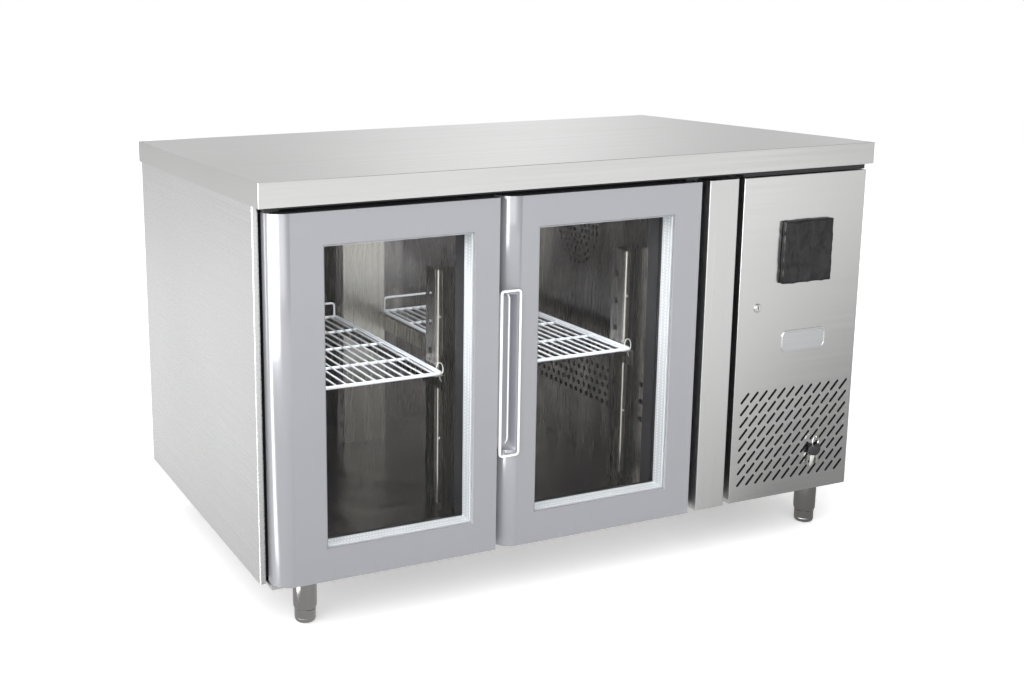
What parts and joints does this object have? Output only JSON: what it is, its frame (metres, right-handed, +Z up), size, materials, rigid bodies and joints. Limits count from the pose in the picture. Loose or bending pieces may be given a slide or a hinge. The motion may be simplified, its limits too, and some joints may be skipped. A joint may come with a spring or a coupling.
{
  "type": "undercounter refrigerator",
  "caption": "Counter-height stainless refrigerator with glazed doors, wire shelves and a side machine compartment behind a vented service panel.",
  "frame": {"origin": "on the floor, under the middle of the worktop's outline", "axes": "+X to the right seen from the front, +Y from the front to the back, +Z up"},
  "size_m": [1.36, 0.8, 0.85],
  "materials": {
    "stainless": "satin brushed",
    "bright_stainless": "bright brushed",
    "foamed_wall": "stainless-skinned foam, reflective",
    "inner_stainless": "semi-bright",
    "black_plastic": "satin",
    "door_frame": "satin lacquered",
    "pull_rim": "semi-gloss",
    "glass": "clear, greenish at the edges",
    "spacer": "satin, two rows of fine holes",
    "gasket": "matte",
    "coated_wire": "PVC-coated wire",
    "fins": "satin",
    "compressor_shell": "semi-gloss black",
    "fan_plastic": "satin",
    "key_metal": "polished"
  },
  "bodies": {
    "cabinet": {"worktop": "stainless", "left_side_panel": "stainless", "right_side_panel": "stainless", "back_panel": "stainless", "pillar_cover": "bright_stainless", "leg_front_left": "bright_stainless", "leg_front_right": "bright_stainless", "leg_rear_left": "bright_stainless", "leg_rear_right": "bright_stainless", "left_door_lower_hinge": "bright_stainless", "right_door_lower_hinge": "bright_stainless", "insulated_base": "foamed_wall", "insulated_ceiling": "foamed_wall", "left_wall": "foamed_wall", "partition_wall": "foamed_wall", "rear_wall": "foamed_wall", "centre_mullion": "foamed_wall", "evaporator_cover": "inner_stainless", "upright_left_front": "inner_stainless", "upright_left_rear": "inner_stainless", "upright_centre_front": "inner_stainless", "upright_centre_rear": "inner_stainless", "upright_right_front": "inner_stainless", "upright_right_rear": "inner_stainless", "left_shelf_left_runner": "inner_stainless", "left_shelf_right_runner": "inner_stainless", "right_shelf_left_runner": "inner_stainless", "right_shelf_right_runner": "inner_stainless", "breaker_frame": "black_plastic", "cable_gland": "black_plastic", "left_door_upper_hinge": "black_plastic", "right_door_upper_hinge": "black_plastic", "evaporator_coil": "fins", "condenser": "fins", "compressor": "compressor_shell"},
    "left_door": {"left_door_frame": "door_frame", "left_door_outer_pane": "glass", "left_door_inner_pane": "glass", "left_door_glass_spacer": "spacer", "left_door_inner_frame": "black_plastic", "left_door_gasket": "gasket"},
    "right_door": {"right_door_frame": "door_frame", "right_door_outer_pane": "glass", "right_door_inner_pane": "glass", "right_door_glass_spacer": "spacer", "right_door_inner_frame": "black_plastic", "right_door_gasket": "gasket", "right_door_pull_rim": "pull_rim"},
    "service_panel": {"service_panel": "stainless", "display_housing": "black_plastic"},
    "service_lock": {"lock_cylinder": "bright_stainless"},
    "keys": {"key_ring": "key_metal"},
    "left_shelf": {"left_shelf": "coated_wire"},
    "right_shelf": {"right_shelf": "coated_wire"},
    "evaporator_fan": {"evaporator_fan": "fan_plastic"},
    "condenser_fan": {"condenser_fan": "fan_plastic"},
    "foot_front_left": {"foot_front_left": "bright_stainless"},
    "foot_front_right": {"foot_front_right": "bright_stainless"},
    "foot_rear_left": {"foot_rear_left": "bright_stainless"},
    "foot_rear_right": {"foot_rear_right": "bright_stainless"}
  },
  "joints": [
    {"name": "left_door_hinge", "type": "hinge", "parent": "cabinet", "child": "left_door", "pos_m": [-0.647, -0.364, 0.1], "axis": [0, 0, -1], "range_deg": [0, 100]},
    {"name": "right_door_hinge", "type": "hinge", "parent": "cabinet", "child": "right_door", "pos_m": [0.239, -0.364, 0.1], "axis": [0, 0, 1], "range_deg": [0, 100]},
    {"name": "service_panel_hinge", "type": "hinge", "parent": "cabinet", "child": "service_panel", "pos_m": [0.664, -0.372, 0.1], "axis": [0, 0, 1], "range_deg": [0, 95]},
    {"name": "service_lock_turn", "type": "hinge", "parent": "service_panel", "child": "service_lock", "pos_m": [0.409, -0.386, 0.52], "axis": [0, 1, 0], "range_deg": [0, 90]},
    {"name": "key_ring_swing", "type": "hinge", "parent": "service_panel", "child": "keys", "pos_m": [0.58054, -0.386, 0.2225], "axis": [-1, 0, 0], "range_deg": [0, 20]},
    {"name": "left_shelf_slide", "type": "slide", "parent": "cabinet", "child": "left_shelf", "axis": [0, -1, 0], "range_m": [0, 0.035]},
    {"name": "right_shelf_slide", "type": "slide", "parent": "cabinet", "child": "right_shelf", "axis": [0, -1, 0], "range_m": [0, 0.035]},
    {"name": "evaporator_fan_spin", "type": "hinge", "parent": "cabinet", "child": "evaporator_fan", "pos_m": [0.25, 0, 0.64], "axis": [1, 0, 0], "continuous": true},
    {"name": "condenser_fan_spin", "type": "hinge", "parent": "cabinet", "child": "condenser_fan", "pos_m": [0.515, -0.215, 0.29], "axis": [0, 1, 0], "continuous": true},
    {"name": "foot_front_left_screw", "type": "slide", "parent": "cabinet", "child": "foot_front_left", "axis": [0, 0, 1], "range_m": [-0.03, 0]},
    {"name": "foot_front_right_screw", "type": "slide", "parent": "cabinet", "child": "foot_front_right", "axis": [0, 0, 1], "range_m": [-0.03, 0]},
    {"name": "foot_rear_left_screw", "type": "slide", "parent": "cabinet", "child": "foot_rear_left", "axis": [0, 0, 1], "range_m": [-0.03, 0]},
    {"name": "foot_rear_right_screw", "type": "slide", "parent": "cabinet", "child": "foot_rear_right", "axis": [0, 0, 1], "range_m": [-0.03, 0]}
  ]
}
